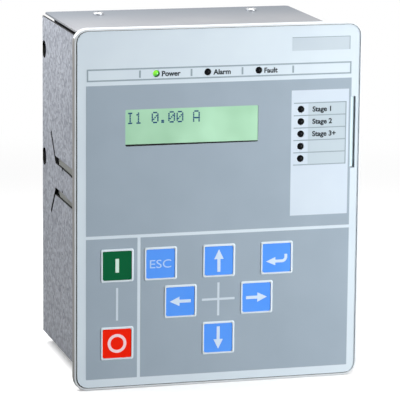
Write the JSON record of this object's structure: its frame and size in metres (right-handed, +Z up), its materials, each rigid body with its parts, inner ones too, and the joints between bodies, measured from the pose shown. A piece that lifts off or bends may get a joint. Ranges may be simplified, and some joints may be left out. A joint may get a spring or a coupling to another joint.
{
  "type": "protection relay",
  "caption": "Flush-mounted numerical protection relay: moulded front with membrane keys, lamps and display on a galvanised sheet case with rear terminals.",
  "frame": {"origin": "on the surface that the relay stands on, under the middle of its box", "axes": "+X to the right as seen from the front, +Y from the front towards the rear terminals, +Z up"},
  "size_m": [0.1306, 0.104, 0.1605],
  "materials": {
    "moulded_frame": "fine-textured light grey moulding",
    "foam_rubber": "black closed-cell foam",
    "printed_film": "satin polyester film, printed on its back",
    "clear_window": "clear acrylic",
    "display_glass": "reflective green liquid-crystal glass",
    "label_card": "plain card",
    "blue_key": "blue print under satin film",
    "green_key": "green print under satin film",
    "red_key": "red print under satin film",
    "green_lamp": "clear green lens",
    "dark_lamp": "smoked lens",
    "spangled_zinc": "hot-dip galvanised sheet with fine spangle",
    "zinc_aluminium_cover": "matt aluminium-zinc coated sheet",
    "epoxy_board": "green solder resist",
    "cast_resin": "black cast resin",
    "relay_cover": "pale moulded cover",
    "ferrite_core": "ground ferrite and taped winding",
    "capacitor_sleeve": "dark blue shrink sleeve",
    "ribbon_cable": "grey ribbed cable",
    "terminal_nylon": "black glass-filled nylon",
    "plug_nylon": "green nylon",
    "plated_steel": "bright zinc plating",
    "switch_body": "black moulded switch"
  },
  "bodies": {
    "relay": {"front_frame": "moulded_frame", "display_holder": "moulded_frame", "panel_gasket": "foam_rubber", "membrane_overlay": "printed_film", "display_window": "clear_window", "display_glass": "display_glass", "legend_insert": "label_card", "case_wrap": "spangled_zinc", "top_cover": "zinc_aluminium_cover", "bottom_cover": "zinc_aluminium_cover", "display_board": "epoxy_board", "main_board": "epoxy_board", "supply_board": "epoxy_board", "ribbon_cable": "ribbon_cable", "power_transformer": "ferrite_core", "current_terminal_block": "terminal_nylon", "output_socket": "terminal_nylon", "supply_socket": "terminal_nylon", "output_plug": "plug_nylon", "supply_plug": "plug_nylon", "earth_stud": "plated_steel", "earth_nut": "plated_steel", "switch_on": "switch_body", "switch_off": "switch_body", "switch_escape": "switch_body", "switch_up": "switch_body", "switch_down": "switch_body", "switch_left": "switch_body", "switch_right": "switch_body", "switch_enter": "switch_body", "status_lamp_1": "green_lamp", "status_lamp_2": "dark_lamp", "status_lamp_3": "dark_lamp", "alarm_lamp_1": "dark_lamp", "alarm_lamp_2": "dark_lamp", "alarm_lamp_3": "dark_lamp", "alarm_lamp_4": "dark_lamp", "alarm_lamp_5": "dark_lamp", "top_screw_left": "plated_steel", "top_screw_right": "plated_steel", "bottom_screw_left": "plated_steel", "bottom_screw_right": "plated_steel", "current_transformer_1": "cast_resin", "current_transformer_2": "cast_resin", "current_transformer_3": "cast_resin", "current_transformer_4": "cast_resin", "output_relay_1": "relay_cover", "output_relay_2": "relay_cover", "output_relay_3": "relay_cover", "capacitor_1": "capacitor_sleeve", "capacitor_2": "capacitor_sleeve"},
    "key_on_cap": {"key_on": "green_key"},
    "key_off_cap": {"key_off": "red_key"},
    "key_escape_cap": {"key_escape": "blue_key"},
    "key_up_cap": {"key_up": "blue_key"},
    "key_down_cap": {"key_down": "blue_key"},
    "key_left_cap": {"key_left": "blue_key"},
    "key_right_cap": {"key_right": "blue_key"},
    "key_enter_cap": {"key_enter": "blue_key"}
  },
  "joints": [
    {"name": "key_on_press", "type": "slide", "parent": "relay", "child": "key_on_cap", "axis": [0, 1, 0], "range_m": [0, 0.0005], "stiffness_N_per_m": 2000},
    {"name": "key_off_press", "type": "slide", "parent": "relay", "child": "key_off_cap", "axis": [0, 1, 0], "range_m": [0, 0.0005], "stiffness_N_per_m": 2000},
    {"name": "key_escape_press", "type": "slide", "parent": "relay", "child": "key_escape_cap", "axis": [0, 1, 0], "range_m": [0, 0.0005], "stiffness_N_per_m": 2000},
    {"name": "key_up_press", "type": "slide", "parent": "relay", "child": "key_up_cap", "axis": [0, 1, 0], "range_m": [0, 0.0005], "stiffness_N_per_m": 2000},
    {"name": "key_down_press", "type": "slide", "parent": "relay", "child": "key_down_cap", "axis": [0, 1, 0], "range_m": [0, 0.0005], "stiffness_N_per_m": 2000},
    {"name": "key_left_press", "type": "slide", "parent": "relay", "child": "key_left_cap", "axis": [0, 1, 0], "range_m": [0, 0.0005], "stiffness_N_per_m": 2000},
    {"name": "key_right_press", "type": "slide", "parent": "relay", "child": "key_right_cap", "axis": [0, 1, 0], "range_m": [0, 0.0005], "stiffness_N_per_m": 2000},
    {"name": "key_enter_press", "type": "slide", "parent": "relay", "child": "key_enter_cap", "axis": [0, 1, 0], "range_m": [0, 0.0005], "stiffness_N_per_m": 2000}
  ]
}
